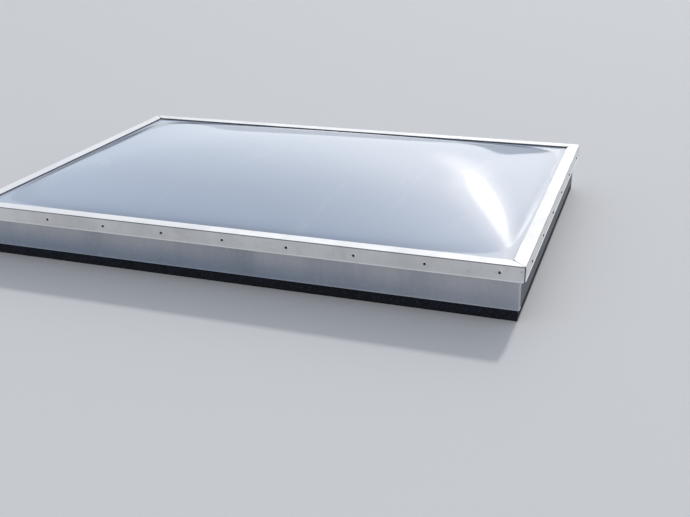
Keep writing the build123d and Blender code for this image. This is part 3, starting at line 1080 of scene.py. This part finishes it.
def felt_mesh(side):
    """Strip whose outer face is uneven, while its inner face lies flat on the board."""
    half = felt_half if side in LONG_SIDES else side_felt_half
    inner = felt_inset + felt_thickness
    section = outline(
        [
            (felt_inset, 0, felt_outer_round),
            (felt_inset, felt_high.z, felt_outer_round),
            (inner, felt_high.z, felt_inner_round),
            (inner, 0, felt_inner_round),
        ],
        felt_spacing,
    )

    def make(made):
        rows = []
        for along in evenly(round(2 * half / felt_spacing), -half, half):
            row = []
            for inset, height in section:
                place = on_side(side, along, inset, height)
                rough = 1 + 0.7 * noise.noise(place * felt_wave_scale)
                rough += 0.3 * noise.noise(place * felt_grit_scale)
                face = 1 - min((inset - felt_inset) / felt_thickness, 1.0)
                row.append(on_side(side, along, inset + felt_wave * rough * face, height))
            rows.append(row)
        skin(made, rows)

    return make


build_sides("felt_strip", felt_mesh, "felt", "felt_upstand")

# Seals: rings that bulge inwards between the layers that press on them

seal_bulge = 0.35 * MM
seal_wave_scale = 9.0
seal_stations = 24
seal_set_back = 4 * MM
seal_inside = retainer_flange - seal_set_back


def seal_mesh(low, high, inner_inset):
    """Pressed ring that keeps its solid's outside, with its inner edge at an inset."""
    inner_x, inner_y = half_length - inner_inset, half_width - inner_inset
    middle, half_height = (low.z + high.z) / 2, (high.z - low.z) / 2
    turns = [Vector(corner) for corner in CORNERS]
    section = [(0, level) for level in evenly(4)] + [(1, level) for level in evenly(4, 1.0, -1.0)]

    def make(made):
        rows = []
        for start, end in zip(turns, turns[1:] + turns[:1]):
            for share in evenly(seal_stations, 0.0, 1.0)[:-1]:
                plan = start.lerp(end, share)
                row = []
                for edge, level in section:
                    uneven = 1 + 0.5 * noise.noise(Vector((*(plan * seal_wave_scale), level)))
                    pull = edge * seal_bulge * uneven * (1 - abs(level))
                    x = high.x + (inner_x - high.x) * edge - pull
                    y = high.y + (inner_y - high.y) * edge - pull
                    row.append(Vector((plan.x * x, plan.y * y, middle + half_height * level)))
                rows.append(row)
        skin(made, rows, wrap=True)

    return make


for name, node, inner_inset, finish_name, slot in (
    ("pressed_tape", "glazing_tape", seal_inside, "tape", "sealing_tape"),
    ("pressed_spacer", "dome_spacer", seal_inside, "spacer", "spacer_rubber"),
    ("pressed_pad", "glazing_gasket", seal_inside, "gasket", "gasket_rubber"),
    ("pressed_curb_seal", "curb_gasket", curb_inside, "gasket", "gasket_rubber"),
):
    low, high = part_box(node)
    build_piece(name, seal_mesh(low, high, inner_inset), FINISHES[finish_name], node)

# Solids that keep their own shape: the inner frame, the corner keys and the boards

for side in SIDES:
    lay(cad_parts[f"inner_frame_{side}"], finish_for(side, "frame"))
    lay(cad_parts[f"curb_board_{side}"], finish_for(side, "board"))
for name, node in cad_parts.items():
    if name.startswith("corner_key"):
        lay(node, FINISHES["frame_short"])

# Camera: how far it stands round to the right, looks down and leans, in degrees

camera_place = (1.296, -2.9456, 1.2017)
camera_turns = (20.60, 23.20, 1.62)
camera_lens = 47.0
sensor_width = 36.0

azimuth, elevation, roll = (math.radians(turn) for turn in camera_turns)
level_forward = Vector((-math.sin(azimuth), math.cos(azimuth), 0))
forward = level_forward * math.cos(elevation) - Vector((0, 0, math.sin(elevation)))
right = Vector((math.cos(azimuth), math.sin(azimuth), 0))
down = forward.cross(right)
tilted_right = right * math.cos(roll) + down * math.sin(roll)
tilted_down = down * math.cos(roll) - right * math.sin(roll)
camera_data = bpy.data.cameras.new("camera")
camera_data.lens = camera_lens
camera_data.sensor_width = sensor_width
camera = add_object("camera", camera_data)
turn = Matrix((tilted_right, -tilted_down, -forward)).transposed()
camera.matrix_world = Matrix.Translation(camera_place) @ turn.to_4x4()
bpy.context.scene.camera = camera

# Floor, lamp and sky

floor_reach = 40.0
floor_grey = (0.57, 0.57, 0.57)
lamp_place = (6.7, 37.5)
lamp_strength = 1.5
lamp_shade = (1.0, 0.98, 0.95)
lamp_spread = 4.0

floor_corners = [(x * floor_reach, y * floor_reach, 0) for x, y in CORNERS]
floor_mesh = bpy.data.meshes.new("floor")
floor_mesh.from_pydata(floor_corners, [], [(0, 1, 2, 3)])
floor = add_object("floor", floor_mesh)
floor_finish = Finish("pale_floor")
floor_finish.set(Base_Color=floor_grey, Roughness=0.9)
lay(floor, floor_finish.material)


def direction(azimuth, elevation):
    """Towards a place in the sky: azimuth 0 is behind the skylight, at +Y, and 90 is at +X."""
    turn, rise = math.radians(azimuth), math.radians(elevation)
    level = math.cos(rise)
    return Vector((math.sin(turn) * level, math.cos(turn) * level, math.sin(rise)))


lamp = bpy.data.lights.new("key_lamp", "SUN")
lamp.energy = lamp_strength
lamp.color = lamp_shade
lamp.angle = math.radians(lamp_spread)
holder = add_object("key_lamp", lamp)
holder.rotation_mode = "QUATERNION"
holder.rotation_quaternion = direction(*lamp_place).to_track_quat("Z", "Y")

# The sky is brightest round a tall window behind the skylight and bluer away from it. Two
# dark screens stand on the horizon behind the skylight, and only reflections show them.
window = direction(-5.54, 23.8)
window_tilt = 0.49
window_half_width = 0.0168
window_half_height = 0.062
window_shade = (2.4, 2.35, 2.3)
glow_shade = (2.3, 2.1, 1.9)
haze_shade = (0.6, 0.6, 0.6)
left_screen_shade = (0.03, 0.03, 0.035)
right_screen_shade = (0.16, 0.16, 0.155)
screen_edge = 0.014
sky_strength = 2.6

world = bpy.data.worlds.new("studio")
bpy.context.scene.world = world
world.use_nodes = True
sky = Shading(world.node_tree, "Generated")
sideways, backwards, upwards = (sky.axis(name) for name in "XYZ")
behind = backwards.ramp(0.0, 0.1)
inputs = {0: sky.place, 1: window}
nearness = sky.node("ShaderNodeVectorMath", {"operation": "DOT_PRODUCT"}, inputs, "Value")
sky_shade = sky.colours(
    nearness.angle() / math.pi,
    (0.0, (1.0, 0.96, 0.92)),
    (0.033, (0.865, 0.846, 0.827)),
    (0.083, (0.635, 0.638, 0.638)),
    (0.139, (0.442, 0.462, 0.477)),
    (0.194, (0.288, 0.319, 0.365)),
    (0.25, (0.173, 0.204, 0.262)),
    (0.333, (0.146, 0.169, 0.215)),
    (0.6, (0.225, 0.23, 0.24)),
)
haze = upwards.fade(0.0, 0.3) * backwards.ramp(0.5, 0.85)
sky_shade = sky.blend(haze * 0.3, sky_shade, haze_shade)
sky_shade = sky.blend(sideways.ramp(0.3, 0.9) * 0.45, sky_shade, haze_shade)

# The window leans and widens upwards, and a soft glow surrounds it
above_window = (upwards - window.z) / window_half_height
beside_window = sideways - window.x - (upwards - window.z) * window_tilt
beside_window = beside_window / window_half_width / above_window.ramp(-1.2, 1.2, 0.7, 1.5)
from_window = (above_window ** 2.0 + beside_window ** 2.0) ** 0.5
glow = from_window.fade(0.5, 5.5) ** 2.0
sky_shade = sky.blend(glow * 0.36 * behind, sky_shade, glow_shade)
sky_shade = sky.blend(from_window.fade(0.65, 1.7) * behind, sky_shade, window_shade)

# Each screen reaches up to a height that changes sideways
left_top = sideways.ramp(-0.56, -0.46, 0.05, -0.03)
right_top = sideways.ramp(-0.22, -0.12, 0.0, 0.19) * sideways.fade(0.0, 0.2)
right_top = right_top * backwards.ramp(0.0, 0.2)
mirrored = 1 - sky.node("ShaderNodeLightPath", output="Is Camera Ray")
for screen_top, screen_shade in ((left_top, left_screen_shade), (right_top, right_screen_shade)):
    screen = (screen_top - upwards).ramp(0.0, screen_edge) * mirrored
    sky_shade = sky.blend(screen, sky_shade, screen_shade)
background = world.node_tree.nodes["Background"]
sky.fill(background, {"Color": sky_shade, "Strength": sky_strength})

bpy.context.scene.view_settings.view_transform = "Standard"
